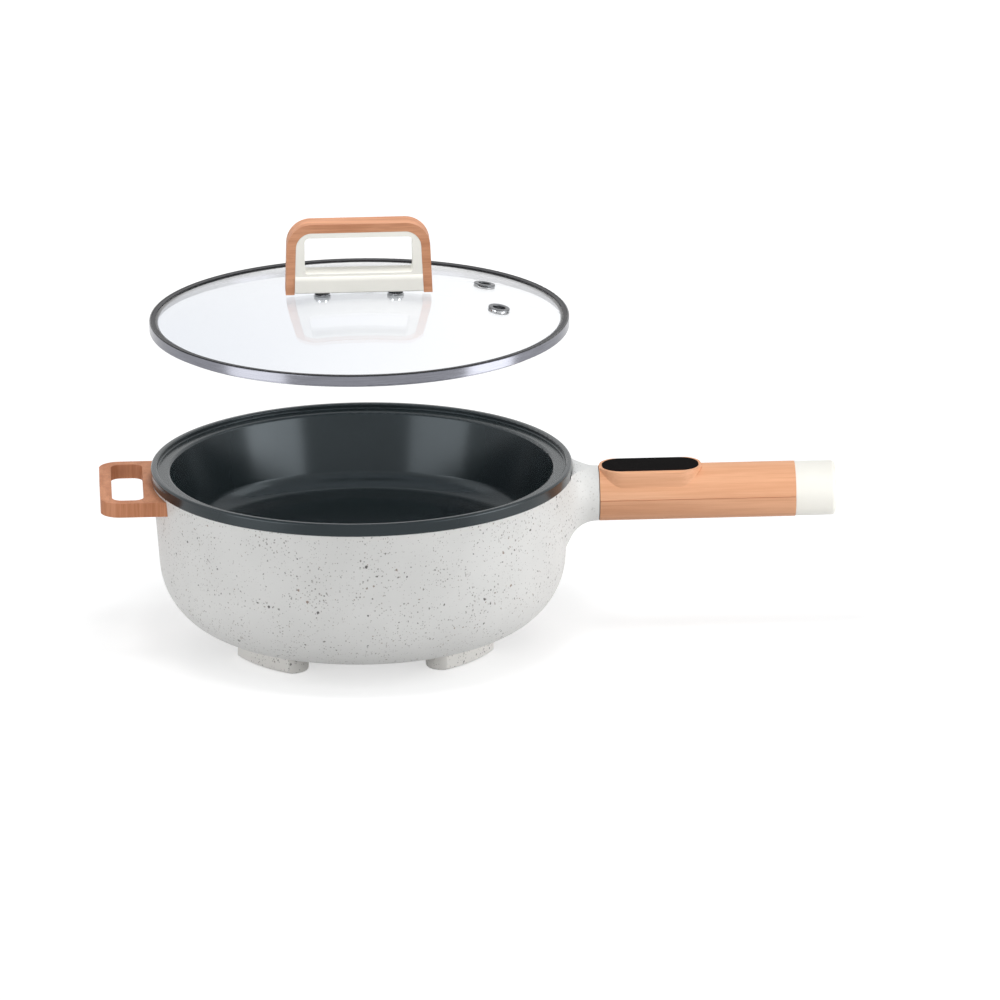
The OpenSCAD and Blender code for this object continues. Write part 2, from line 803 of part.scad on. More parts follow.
// Solid of the whole wooden handle, with the raised deck for the panel
module handle_solid() {
    translate([handle_x0, 0, handle_z]) along_x() cylinder(r = handle_r, h = handle_l);
    intersection() {
        translate([panel_x, 0, handle_z]) linear_extrude(height = handle_d)
            rounded_rectangle(deck_l, deck_w, panel_corner_r + deck_border);
        translate([handle_x0 - over, 0, 0]) rotate([90, 0, 90]) linear_extrude(height = deck_l + 2 * over)
            rounded_polygon([
                [-deck_w / 2, handle_z, 0], [deck_w / 2, handle_z, 0],
                [deck_w / 2, deck_z, deck_edge_r], [-deck_w / 2, deck_z, deck_edge_r]
            ]);
        translate([0, handle_d, 0]) rotate([90, 0, 0]) linear_extrude(height = 2 * handle_d)
            rounded_polygon([
                [handle_x0, handle_z, 0], [handle_x0 + deck_l, handle_z, 0],
                [handle_x0 + deck_l, deck_z, deck_edge_r], [handle_x0, deck_z, deck_edge_r]
            ]);
    }
}

module handle_bosses() {
    for (x = [front_screw_x, rear_screw_x]) translate([x, 0, handle_z - handle_r])
        intersection() {
            cylinder(d = boss_d, h = handle_d);
            translate([-boss_d, 0, handle_r]) along_x() cylinder(r = handle_r - over, h = 2 * boss_d);
        }
}

module handle_bore() {
    translate([handle_x0 - over, 0, handle_z]) along_x() cylinder(r = handle_in_r, h = handle_l + 2 * over);
}

module upper_half() {
    translate([handle_x0 - over, -handle_d, handle_z]) cube([handle_l + 2 * over, 2 * handle_d, handle_d]);
}

module handle_upper() {
    touch_l = touch_x1 - touch_x0;
    color(wood_colour) difference() {
        intersection() {
            union() {
                difference() {
                    handle_solid();
                    handle_bore();
                }
                handle_bosses();
            }
            upper_half();
        }
        translate([panel_x, 0, lens_under_z]) linear_extrude(height = panel_t)
            rounded_rectangle(panel_l + fit_gap, panel_w + fit_gap, panel_corner_r + fit_gap / 2);
        translate([touch_x0, -board_w / 2 - fit_gap, handle_z])
            cube([touch_l, board_w + 2 * fit_gap, touch_z - handle_z]);
        translate([touch_x0 + ledge, -board_w / 2 + ledge, handle_z])
            cube([touch_l - 2 * ledge, board_w - 2 * ledge, handle_d]);
        for (x = [front_screw_x, rear_screw_x]) translate([x, 0, handle_z - over])
            cylinder(d = small_screw_d + 2 * fit_gap, h = handle_in_r - 3 + over);
    }
}

module handle_lower() {
    seat_h = handle_in_r - (handle_z - power_z) - board_t;
    color(wood_colour) difference() {
        union() {
            difference() {
                handle_solid();
                handle_bore();
            }
            handle_bosses();
            for (x = [power_x0 + 4, power_x1 - 4]) intersection() {
                translate([x - 1, 0, handle_z]) along_x() cylinder(r = handle_r - over, h = 2);
                translate([x - 1, -handle_r, handle_z - handle_r]) cube([2, handle_d, handle_t + seat_h]);
            }
        }
        upper_half();
        for (s = [-1, 1])
            translate([handle_x0 - over, s * (handle_r + over) - over - seam_w, handle_z - seam_w])
                cube([handle_l + 2 * over, 2 * (over + seam_w), seam_w + over]);
        for (x = [front_screw_x, rear_screw_x]) translate([x, 0, handle_z - handle_d]) {
            cylinder(d = small_screw_d + 2 * fit_gap, h = 2 * handle_d);
            cylinder(d = 2 * small_screw_d + 2 * fit_gap, h = handle_d - handle_r + handle_t);
        }
        translate([neck_screw_x, 0, handle_z - handle_d]) {
            cylinder(d = small_screw_d + 2 * fit_gap, h = handle_d);
            cylinder(d = 2 * small_screw_d + 2 * fit_gap, h = handle_d - handle_r + handle_t / 2);
        }
    }
}

module handle_screws() {
    head_h = 1.4;
    color(steel_colour) {
        for (x = [front_screw_x, rear_screw_x]) translate([x, 0, handle_z - handle_r + handle_t])
            screw(small_screw_d, handle_in_r + 8, 2 * small_screw_d, head_h);
        translate([neck_screw_x, 0, handle_z - handle_r + handle_t / 2])
            screw(small_screw_d, handle_t / 2 + 2.6, 2 * small_screw_d, head_h);
    }
}

module inlet_outline(play) {
    rounded_rectangle(inlet_h + 2 * play, inlet_w + 2 * play, 3);
}

module handle_end_cap() {
    color(cream_colour) difference() {
        translate([0, 0, handle_z]) along_x() rotate_extrude()
            rounded_polygon([
                [0, handle_x1 - tongue_l, 0],
                [spigot_r, handle_x1 - tongue_l, 0],
                [spigot_r, handle_x1, 0],
                [cap_d / 2, handle_x1, 0.4],
                [cap_d / 2, cap_x1, cap_edge_r],
                [0, cap_x1, 0]
            ]);
        translate([handle_x1 - tongue_l - over, 0, handle_z]) along_x()
            cylinder(r = spigot_r - handle_t, h = tongue_l + over + inlet_x0 - handle_x1);
        translate([inlet_x0, 0, handle_z]) along_x() linear_extrude(height = inlet_l + over)
            inlet_outline(fit_gap / 2);
    }
}

// Flat pins: live and neutral side by side, earth between them and higher
module pin_outlines(play) {
    for (p = [[-2, -1], [2, 0], [-2, 1]])
        translate([-p[0], p[1] * lead_y]) square([4 + 2 * play, 2 + 2 * play], center = true);
}

module power_inlet() {
    color(dark_colour) translate([inlet_x0, 0, handle_z]) along_x() difference() {
        linear_extrude(height = inlet_l) inlet_outline(0);
        translate([0, 0, inlet_l - socket_l]) linear_extrude(height = socket_l + over)
            rounded_rectangle(inlet_h - 2 * inlet_wall, inlet_w - 2 * inlet_wall, 2);
        translate([0, 0, -over]) linear_extrude(height = inlet_l) pin_outlines(fit_gap / 2);
    }
}

module inlet_pins() {
    color("#c9b27a") translate([pin_x0, 0, handle_z]) along_x()
        linear_extrude(height = cap_x1 - 4 - pin_x0) pin_outlines(0);
}

module mains_leads() {
    color("#3b5fa8") for (s = [-1, 1])
        tube([[power_x1, s * lead_y, lead_z], [pin_x0, s * lead_y, lead_z]], lead_d);
}

module control_panel() {
    color(dark_colour) translate([panel_x, 0, lens_under_z]) linear_extrude(height = panel_t)
        rounded_rectangle(panel_l, panel_w, panel_corner_r);
}

// Board with a row of touch springs that reach the lens
module touch_board() {
    touch_l = touch_x1 - touch_x0;
    key_pitch = (touch_l - 2 * ledge) / 4;
    color("#2f6b45") {
        translate([touch_x0 + fit_gap, -board_w / 2, touch_z - board_t])
            cube([touch_l - 2 * fit_gap, board_w, board_t]);
        for (i = [0 : 3]) translate([touch_x0 + ledge + key_pitch * (i + 0.5), 5, touch_z - board_t / 2])
            cylinder(d = 6, h = lens_under_z - touch_z + board_t / 2);
        translate([touch_x0 + ledge + 6, -8, touch_z - board_t / 2])
            cube([touch_l - 2 * ledge - 12, 8, lens_under_z - touch_z]);
    }
}

// Board with a relay, a capacitor and a terminal block at each end
module power_board() {
    color("#2f6b45") {
        translate([power_x0, -board_w / 2, power_z - board_t])
            cube([power_x1 - power_x0, board_w, board_t]);
        for (x = [power_x0, power_x1 - block_l])
            translate([x, -lead_y - 4, power_z - board_t / 2])
                cube([block_l, 2 * lead_y + 8, block_h + board_t / 2]);
        translate([(power_x0 + power_x1) / 2 - 6, -2, power_z - board_t / 2]) cube([11, 10, 10]);
        translate([(power_x0 + power_x1) / 2, -7, power_z - board_t / 2]) cylinder(d = 7, h = 9);
    }
}

// Helper handle

module helper_handle() {
    back_x = -(wall_r(helper_z0) - helper_w / 3);
    mid_x = (helper_gap_x0 + helper_gap_x1) / 2;
    color(wood_colour) difference() {
        translate([0, 0, helper_z0]) linear_extrude(height = helper_t)
            rounded_polygon([
                [helper_x0, -helper_w / 2, helper_corner_r],
                [back_x, -helper_w / 2, 0],
                [back_x, helper_w / 2, 0],
                [helper_x0, helper_w / 2, helper_corner_r]
            ]);
        translate([mid_x, 0, helper_z0 - over]) linear_extrude(height = helper_t + 2 * over)
            rounded_rectangle(helper_gap_l, helper_gap_w, helper_gap_r);
        body_space(-fit_gap / 2, rim_z);
        at_helper_screws() rotate([0, -90, 0])
            cylinder(d = screw_d + 2 * fit_gap, h = helper_screw_l + over);
    }
}

module helper_screws() {
    color(steel_colour) at_helper_screws() rotate([0, -90, 0])
        screw(screw_d, helper_screw_l, 2 * screw_d, 2);
}

// Lid

module on_dome(r, angle) {
    tilt = asin(r / dome_r);
    rotate([0, 0, angle]) translate([0, 0, dome_centre_z]) rotate([0, tilt, 0])
        translate([0, 0, dome_r]) children();
}

module at_vents() {
    for (a = [vent_rear_angle, vent_front_angle]) on_dome(vent_r, a) children();
}

module glass_profile() {
    difference() {
        polygon([
            [0, glass_under_z],
            [lid_r - band_t - fit_gap, glass_under_z],
            [lid_r - band_t - fit_gap, glass_top_z],
            [dome_edge_r, glass_top_z],
            [dome_edge_r, dome_top_z + over],
            [0, dome_top_z + over]
        ]);
        difference() {
            translate([-over, glass_top_z]) square([dome_edge_r + over, dome_rise + 2 * over]);
            translate([0, dome_centre_z]) circle(r = dome_r, $fn = dome_fn);
        }
        intersection() {
            translate([-over, glass_under_z - over]) square([dome_edge_r + over, 2 * dome_rise]);
            translate([0, dome_centre_z]) circle(r = dome_r - glass_t, $fn = dome_fn);
        }
    }
}

// Space under the dome, moved in by an inset, near the lid's middle
module dome_space(inset) {
    rotate_extrude() intersection() {
        translate([0, dome_centre_z]) circle(r = dome_r - inset, $fn = dome_fn);
        translate([0, glass_under_z]) square([post_spacing, 2 * dome_rise]);
    }
}

module lid_glass() {
    color([0.80, 0.86, 0.88, 0.35]) difference() {
        rotate_extrude() glass_profile();
        at_lid_screws() translate([0, 0, glass_under_z]) cylinder(d = lid_screw_hole_d, h = 2 * dome_rise);
        at_vents() translate([0, 0, -2 * glass_t])
            cylinder(d = vent_neck_d + 2 * fit_gap, h = 4 * glass_t);
    }
}

module lid_band() {
    fold_r = lid_r - band_lap;
    inner_r = lid_r - band_t;
    skirt_r = lid_d / 2;
    under_r = skirt_r - 2 * band_lap;
    skirt_end_z = lid_z - band_skirt;
    color(steel_colour) rotate_extrude() rounded_polygon([
        [skirt_r - band_t, skirt_end_z, 0],
        [skirt_r, skirt_end_z, 0.3],
        [skirt_r, lid_z, 0],
        [lid_r, lid_z, 0.3],
        [lid_r, lid_z + band_h, 1],
        [fold_r, lid_z + band_h, 0.3],
        [fold_r, glass_top_z, 0],
        [inner_r, glass_top_z, 0],
        [inner_r, glass_under_z, 0],
        [under_r, glass_under_z, 0],
        [under_r, glass_under_z - band_t, 0.3],
        [skirt_r - band_t, glass_under_z - band_t, 0]
    ]);
}

module lid_seal() {
    top_z = lid_z + band_h - fit_gap;
    color(dark_colour) rotate_extrude() rounded_polygon([
        [seal_in_r, glass_top_z, 0],
        [seal_out_r, glass_top_z, 0],
        [seal_out_r, top_z, 0],
        [seal_in_r, top_z, band_t / 2]
    ]);
}

module lid_grip() {
    foot_z = grip_z - grip_drop;
    half_w = grip_w / 2;
    foot_half_w = half_w + grip_splay;
    top_z = grip_z + grip_h;
    color(wood_colour) translate([0, grip_depth / 2, 0]) rotate([90, 0, 0])
        linear_extrude(height = grip_depth)
            rounded_polygon([
                [-foot_half_w, foot_z, 0],
                [-foot_half_w + grip_t, foot_z, 0],
                [-half_w + grip_t, top_z - grip_t, grip_corner_r - grip_t],
                [half_w - grip_t, top_z - grip_t, grip_corner_r - grip_t],
                [foot_half_w - grip_t, foot_z, 0],
                [foot_half_w, foot_z, 0],
                [half_w, top_z, grip_corner_r],
                [-half_w, top_z, grip_corner_r]
            ]);
}

// Outline that fills the inside of the bail, drawn upright through a depth
module liner_block(depth) {
    half_w = liner_w / 2;
    foot_half_w = half_w + grip_splay * (grip_h - grip_t) / (grip_h - grip_t + grip_drop);
    liner_r = grip_corner_r - grip_t;
    translate([0, depth / 2, 0]) rotate([90, 0, 0]) linear_extrude(height = depth)
        rounded_polygon([
            [-foot_half_w, grip_z, 0], [foot_half_w, grip_z, 0],
            [half_w, grip_z + liner_h, liner_r], [-half_w, grip_z + liner_h, liner_r]
        ]);
}

// Liner under the bail and the base bar that the screws pull down
module lid_handle_core() {
    half_w = liner_w / 2 - core_leg_t;
    top_z = grip_z + liner_h - core_top_t;
    color(cream_colour) difference() {
        union() {
            liner_block(grip_depth);
            intersection() {
                liner_block(core_base_depth + 2 * over);
                translate([-grip_w, 0, grip_z]) rotate([90, 0, 90]) linear_extrude(height = 2 * grip_w)
                    rounded_polygon([
                        [-core_base_depth / 2, 0, 1], [core_base_depth / 2, 0, 1],
                        [core_base_depth / 2, core_base_h, 5], [-core_base_depth / 2, core_base_h, 5]
                    ]);
            }
        }
        translate([0, grip_depth, 0]) rotate([90, 0, 0]) linear_extrude(height = 2 * grip_depth)
            rounded_polygon([
                [-half_w, grip_z + core_base_h, 2], [half_w, grip_z + core_base_h, 2],
                [half_w, top_z, core_corner_r], [-half_w, top_z, core_corner_r]
            ]);
        at_lid_screws() translate([0, 0, grip_z - over])
            cylinder(d = lid_screw_d + 2 * fit_gap, h = core_base_h - 2 + over);
    }
}

module lid_spacers() {
    color("#3c3c3c") difference() {
        at_lid_screws() translate([0, 0, dome_top_z - 2]) cylinder(d = spacer_d, h = spacer_h + 2);
        dome_space(0);
        at_lid_screws() translate([0, 0, dome_top_z - dome_rise])
            cylinder(d = lid_screw_d + 2 * fit_gap, h = 2 * dome_rise);
    }
}

module lid_backing_washers() {
    color(cream_colour) at_lid_screws() translate([0, 0, washer_z]) difference() {
        cylinder(d = washer_d, h = washer_t);
        translate([0, 0, -over]) cylinder(d = lid_screw_d + 2 * fit_gap, h = washer_t + 2 * over);
    }
}

module lid_screws() {
    color(steel_colour) at_lid_screws() translate([0, 0, washer_z])
        screw(lid_screw_d, grip_z - washer_z + core_base_h - 3, 1.8 * lid_screw_d, 1.6);
}

module steam_vents() {
    half_flange = vent_flange_t + fit_gap / 2;
    color(steel_colour) at_vents() rotate_extrude() rounded_polygon([
        [vent_hole_d / 2, -glass_t - half_flange, 0.3],
        [vent_d / 2, -glass_t - half_flange, 0.3],
        [vent_d / 2, -glass_t - fit_gap / 2, 0],
        [vent_neck_d / 2, -glass_t - fit_gap / 2, 0],
        [vent_neck_d / 2, fit_gap / 2, 0],
        [vent_d / 2, fit_gap / 2, 0],
        [vent_d / 2, half_flange, 0.6],
        [vent_hole_d / 2, half_flange, 0.6]
    ]);
}

outer_shell();
inner_pot();
heat_plate();
heating_element();
heat_shield();
shield_screws();
thermostat();
thermal_fuse();
heater_leads();
pot_screws();
base_cover();
foot_pads();
base_screws();
handle_upper();
handle_lower();
handle_screws();
handle_end_cap();
power_inlet();
inlet_pins();
mains_leads();
control_panel();
touch_board();
power_board();
helper_handle();
helper_screws();
lid_glass();
lid_band();
lid_seal();
lid_grip();
lid_handle_core();
lid_spacers();
lid_backing_washers();
lid_screws();
steam_vents();
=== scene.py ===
"""Looks of the electric skillet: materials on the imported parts, studio light and the camera."""
import math

import bmesh
import bpy
from mathutils import Matrix, Vector


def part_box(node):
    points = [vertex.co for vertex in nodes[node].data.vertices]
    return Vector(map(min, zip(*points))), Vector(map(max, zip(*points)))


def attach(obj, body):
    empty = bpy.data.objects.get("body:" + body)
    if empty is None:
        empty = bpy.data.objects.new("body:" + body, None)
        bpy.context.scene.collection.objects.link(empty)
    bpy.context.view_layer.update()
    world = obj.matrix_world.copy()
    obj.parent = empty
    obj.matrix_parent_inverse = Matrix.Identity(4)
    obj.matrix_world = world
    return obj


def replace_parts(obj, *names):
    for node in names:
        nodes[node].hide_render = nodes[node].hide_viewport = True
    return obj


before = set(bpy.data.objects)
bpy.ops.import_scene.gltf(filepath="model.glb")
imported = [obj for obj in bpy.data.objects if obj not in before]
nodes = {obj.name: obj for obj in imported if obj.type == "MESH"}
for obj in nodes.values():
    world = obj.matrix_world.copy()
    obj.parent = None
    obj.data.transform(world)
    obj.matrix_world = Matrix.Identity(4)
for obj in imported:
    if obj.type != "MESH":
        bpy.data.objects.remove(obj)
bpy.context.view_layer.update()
scene = bpy.context.scene

WHITE = (1.0, 1.0, 1.0, 1.0)


# Shader helpers

class Tree:
    """Short ways to add nodes to an empty node tree."""

    def __init__(self, tree):
        self.tree = tree
        tree.nodes.clear()

    def add(self, kind, **settings):
        node = self.tree.nodes.new(kind)
        for key, value in settings.items():
            setattr(node, key, value)
        return node

    def link(self, source, target):
        self.tree.links.new(source, target)

    def put(self, socket, value):
        """Links an output to a socket, or gives the socket a plain value."""
        if isinstance(value, bpy.types.NodeSocket):
            self.link(value, socket)
        else:
            socket.default_value = value

    def feed(self, node, **values):
        """Fills a node's inputs by name, with _ for each space in it."""
        for key, value in values.items():
            self.put(node.inputs[key.replace("_", " ")], value)

    def math(self, operation, a, b=0.0):
        node = self.add("ShaderNodeMath", operation=operation)
        self.put(node.inputs[0], a)
        self.put(node.inputs[1], b)
        return node.outputs[0]

    def join(self, kind, a, b):
        """Adds or mixes two shaders, by kind. A mix still needs its Fac."""
        node = self.add(kind)
        first = len(node.inputs) - 2
        self.link(a, node.inputs[first])
        self.link(b, node.inputs[first + 1])
        return node

    def seen_directly(self):
        """1 on rays from the camera, off a mirror and through glass, 0 on those that only carry light."""
        rays = self.add("ShaderNodeLightPath").outputs
        mirrored = self.math("MAXIMUM", rays["Is Glossy Ray"], rays["Is Transmission Ray"])
        return self.math("MAXIMUM", rays["Is Camera Ray"], mirrored)


class Shader(Tree):
    """A material with a Principled shader."""

    def __init__(self, name):
        self.mat = bpy.data.materials.new(name)
        self.mat.use_nodes = True
        super().__init__(self.mat.node_tree)
        self.out = self.add("ShaderNodeOutputMaterial")
        self.bsdf = self.add("ShaderNodeBsdfPrincipled")
        self.link(self.bsdf.outputs["BSDF"], self.out.inputs["Surface"])
        self.coords = self.add("ShaderNodeTexCoord").outputs["Object"]

    def set(self, **values):
        self.feed(self.bsdf, **values)

    def ramp(self, value, low, high, to_low=0.0, to_high=1.0):
        node = self.add("ShaderNodeMapRange", clamp=True, interpolation_type="SMOOTHSTEP")
        self.feed(node, Value=value, From_Min=low, From_Max=high, To_Min=to_low, To_Max=to_high)
        return node.outputs["Result"]

    def mix(self, factor, a, b):
        node = self.add("ShaderNodeMix", data_type="RGBA")
        self.feed(node, Factor=factor, A=a, B=b)
        return node.outputs["Result"]

    def stretched(self, scale):
        node = self.add("ShaderNodeMapping")
        self.feed(node, Vector=self.coords, Scale=scale)
        return node.outputs["Vector"]

    def noise(self, scale, detail=3.0, roughness=0.5, vector=None):
        node = self.add("ShaderNodeTexNoise")
        self.feed(node, Vector=vector or self.coords, Scale=scale, Detail=detail, Roughness=roughness)
        return node.outputs["Fac"]

    def wobbled(self, scale, amount):
        """Object coordinates shifted a little by noise, so that round cells come out uneven."""
        noise = self.add("ShaderNodeTexNoise")
        self.feed(noise, Vector=self.coords, Scale=scale, Detail=2.0)
        shift = self.add("ShaderNodeVectorMath", operation="MULTIPLY_ADD")
        self.link(noise.outputs["Color"], shift.inputs[0])
        self.put(shift.inputs[1], (amount, amount, amount))
        self.link(self.coords, shift.inputs[2])
        return shift.outputs[0]

    def position(self):
        node = self.add("ShaderNodeSeparateXYZ")
        self.link(self.coords, node.inputs[0])
        return node.outputs

    def bump(self, height, strength, distance):
        node = self.add("ShaderNodeBump")
        self.feed(node, Height=height, Strength=strength, Distance=distance)
        self.link(node.outputs["Normal"], self.bsdf.inputs["Normal"])


def rgb(r, g, b):
    """Scene colour of an 8-bit screen colour."""
    def linear(v):
        v /= 255.0
        return v / 12.92 if v <= 0.04045 else ((v + 0.055) / 1.055) ** 2.4
    return (linear(r), linear(g), linear(b), 1.0)


def darkened(colour, share):
    return tuple(c * (1.0 - share) for c in colour[:3]) + (1.0,)


# Materials

# Parts of a noise's range that are drawn out to the whole of another range
MIDDLE = (0.3, 0.7)
MIDDLE_HALF = (0.25, 0.75)
WIDE = (0.2, 0.8)

# Each size of speck: cells to a metre, share of them that hold one, largest radius, soft edge, colour
SPECKS = (
    (640.0, 0.85, 0.40, 0.20, rgb(176, 174, 171)),
    (400.0, 0.85, 0.31, 0.17, rgb(158, 155, 152)),
    (235.0, 0.85, 0.22, 0.12, rgb(128, 125, 122)),
    (150.0, 0.80, 0.185, 0.08, rgb(94, 92, 91)),
)
BROWN_SPECK = rgb(150, 133, 120)
BROWN_CHANCE = (0.85, 0.98)
CLUSTER_NOISE, CLUSTER_SIZES = (0.32, 0.62), (0.75, 1.1)
NECK_START, NECK_END = 0.138, 0.156
NECK_SPECKS = 0.25


def speckles(sh, vector, cluster, scale, share, size, soft):
    """Specks of uneven size scattered through space: returns their mask and a random value per speck."""
    cells = sh.add("ShaderNodeTexVoronoi", feature="F1")
    sh.feed(cells, Vector=vector, Scale=scale)
    parts = sh.add("ShaderNodeSeparateColor")
    sh.link(cells.outputs["Color"], parts.inputs[0])
    reach = sh.ramp(parts.outputs[0], 1.0 - share, 1.0, 0.0, size)
    inside = sh.math("SUBTRACT", sh.math("MULTIPLY", reach, cluster), cells.outputs["Distance"])
    return sh.ramp(inside, 0.0, soft), parts.outputs[1]


def make_body(name, dark, light, speck_amount):
    """White moulding with four sizes of specks, fewer of them towards the neck."""
    sh = Shader(name)
    cloud = sh.noise(scale=26.0, detail=4.0)
    colour = sh.mix(sh.ramp(cloud, *MIDDLE), dark, light)
    vector = sh.wobbled(scale=420.0, amount=0.0022)
    cluster = sh.ramp(sh.noise(scale=38.0, detail=2.0), *CLUSTER_NOISE, *CLUSTER_SIZES)
    amount = sh.ramp(sh.position()[0], NECK_START, NECK_END, speck_amount, NECK_SPECKS * speck_amount)
    for scale, share, size, soft, tint in SPECKS:
        mask, chance = speckles(sh, vector, cluster, scale, share, size, soft)
        shade = sh.mix(sh.ramp(chance, *BROWN_CHANCE), tint, BROWN_SPECK)
        colour = sh.mix(sh.math("MULTIPLY", mask, amount), colour, shade)
    sh.set(Base_Color=colour, Roughness=sh.ramp(cloud, *WIDE, to_low=0.40, to_high=0.48),
           Specular_IOR_Level=0.4)
    sh.bump(sh.noise(scale=900.0, detail=2.0), strength=0.06, distance=0.0004)
    return sh.mat


def make_pot():
    """Dark non-stick coating whose reflections are slightly blue."""
    sh = Shader("pot_coating")
    grain = sh.noise(scale=1500.0, detail=2.0)
    cloud = sh.noise(scale=14.0)
    sh.set(Base_Color=sh.mix(sh.ramp(cloud, *MIDDLE), rgb(23, 29, 31), rgb(28, 35, 37)),
           Roughness=sh.ramp(grain, *MIDDLE, to_low=0.17, to_high=0.22),
           Specular_IOR_Level=0.45, Specular_Tint=(0.82, 0.93, 1.0, 1.0))
    sh.bump(grain, strength=0.02, distance=0.0002)
    return sh.mat


WOOD_TONE = (0.36, 0.66)
BAND_SHARE, FIBRE_SHARE = 0.55, 0.45
PORES = (0.60, 0.72)


def make_wood(name, light, dark, stretch, fibre_stretch, line, fleck):
    """Wood with broad bands, fine fibres and a few darker lines, all drawn out along the grain."""
    sh = Shader(name)
    bands = sh.noise(scale=1.0, detail=4.0, roughness=0.55, vector=sh.stretched(stretch))
    fibres = sh.noise(scale=1.0, detail=6.0, roughness=0.65, vector=sh.stretched(fibre_stretch))
    tone = sh.math("ADD", sh.math("MULTIPLY", bands, BAND_SHARE), sh.math("MULTIPLY", fibres, FIBRE_SHARE))
    colour = sh.mix(sh.ramp(tone, *WOOD_TONE), dark, light)
    pores = sh.ramp(fibres, *PORES)
    sh.set(Base_Color=sh.mix(sh.math("MULTIPLY", pores, fleck), colour, line),
           Roughness=sh.ramp(fibres, *MIDDLE, to_low=0.50, to_high=0.62), Specular_IOR_Level=0.3)
    sh.bump(fibres, strength=0.12, distance=0.0004)
    return sh.mat


def make_plastic(name, colour, roughness, specular=0.5, vary=0.04):
    sh = Shader(name)
    cloud = sh.noise(scale=30.0)
    sh.set(Base_Color=sh.mix(sh.ramp(cloud, *MIDDLE), darkened(colour, vary), colour),
           Roughness=sh.ramp(cloud, *WIDE, to_low=0.9 * roughness, to_high=1.1 * roughness),
           Specular_IOR_Level=specular)
    sh.bump(sh.noise(scale=700.0, detail=2.0), strength=0.03, distance=0.0003)
    return sh.mat


METAL_VARY = 0.14


def make_metal(name, colour, roughness, stretch):
    sh = Shader(name)
    lines = sh.noise(scale=1.0, vector=sh.stretched(stretch))
    sh.set(Base_Color=sh.mix(sh.ramp(lines, *MIDDLE), darkened(colour, METAL_VARY), colour),
           Roughness=sh.ramp(lines, *MIDDLE_HALF, to_low=0.8 * roughness, to_high=1.25 * roughness),
           Metallic=1.0)
    sh.bump(lines, strength=0.04, distance=0.0002)
    return sh.mat


BAND_LINES = (60.0, 60.0, 2200.0)
# Depths below the band's top where the painted dark reflection and shade starts and where it is full
DARK_REFLECTION_START, DARK_REFLECTION_FULL = 0.0008, 0.0005


def make_band():
    """Polished band whose rolled upper edge, which holds the seal, is darkened with painted reflection and
    shade.
    """
    sh = Shader("steel_band")
    lines = sh.noise(scale=1.0, vector=sh.stretched(BAND_LINES))
    metal = sh.mix(sh.ramp(lines, *MIDDLE), rgb(120, 121, 128), rgb(132, 133, 141))
    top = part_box("lid_band")[1].z
    # Painted dark reflection and shade: the steel turns near-black just below the band's top
    edge = sh.ramp(sh.position()[2], top - DARK_REFLECTION_START, top - DARK_REFLECTION_FULL)
    sh.set(Base_Color=sh.mix(edge, metal, rgb(44, 45, 48)),
           Roughness=sh.ramp(lines, *MIDDLE_HALF, to_low=0.16, to_high=0.24), Metallic=1.0)
    return sh.mat


def make_panel():
    """Black lens, almost without reflections."""
    sh = Shader("panel_black")
    cloud = sh.noise(scale=60.0, detail=2.0)
    sh.set(Base_Color=sh.mix(cloud, rgb(16, 15, 15), rgb(22, 20, 20)),
           Roughness=sh.ramp(cloud, *WIDE, to_low=0.18, to_high=0.26), Specular_IOR_Level=0.001)
    return sh.mat


GLASS_IOR = 1.46
# Glass colour at its painted-shade left end and at its lighter right end
GLASS_LEFT_SHADED, GLASS_RIGHT = (0.785, 0.812, 0.860, 1.0), (0.950, 0.960, 0.978, 1.0)
GLASS_SHADE_START, GLASS_SHADE_END = -0.12, 0.16
GLASS_SHADE_WOBBLE = 0.06
GLASS_SHADOW = (0.93, 0.95, 0.96, 1.0)


def make_glass():
    """Clear tempered glass with painted shade, darker and bluer to the left, that lets light through to what
    it covers.
    """
    sh = Shader("lid_glass")
    cloud = sh.noise(scale=9.0, detail=2.0)
    along = sh.math("ADD", sh.position()[0], sh.math("MULTIPLY", cloud, GLASS_SHADE_WOBBLE))
    # Painted shade: the glass colour darkens and turns bluer from right to left
    tint = sh.mix(sh.ramp(along, GLASS_SHADE_START, GLASS_SHADE_END), GLASS_LEFT_SHADED, GLASS_RIGHT)
    sh.set(Base_Color=tint, Transmission_Weight=1.0, Roughness=0.0, IOR=GLASS_IOR)
    clear = sh.add("ShaderNodeBsdfTransparent")
    sh.feed(clear, Color=GLASS_SHADOW)
    blend = sh.join("ShaderNodeMixShader", sh.bsdf.outputs["BSDF"], clear.outputs["BSDF"])
    sh.feed(blend, Fac=sh.add("ShaderNodeLightPath").outputs["Is Shadow Ray"])
    sh.link(blend.outputs["Shader"], sh.out.inputs["Surface"])
    return sh.mat


def even(scale):
    """Noise scale that is alike in all directions."""
    return (scale, scale, scale)


# Scales of a wood's bands and fibres: small along the grain, large across it
HANDLE_GRAIN = ((7.0, 150.0, 150.0), (22.0, 900.0, 900.0))
LOOP_GRAIN = ((150.0, 60.0, 12.0), (900.0, 300.0, 40.0))
BAIL_GRAIN = ((12.0, 150.0, 150.0), (40.0, 900.0, 900.0))

handle_wood = make_wood("handle_wood", rgb(240, 184, 146), rgb(225, 165, 126), *HANDLE_GRAIN,
                        line=rgb(176, 118, 84), fleck=0.25)
# Painted shade: a darker copy of the handle wood for the handle's lower half
under_wood_painted_shade = make_wood("handle_wood_lower_painted_shade", rgb(230, 174, 137), rgb(213, 154, 117), *HANDLE_GRAIN,
                       line=rgb(168, 111, 79), fleck=0.25)
loop_wood = make_wood("loop_wood", rgb(211, 148, 112), rgb(184, 119, 83), *LOOP_GRAIN,
                      line=rgb(138, 84, 56), fleck=0.4)
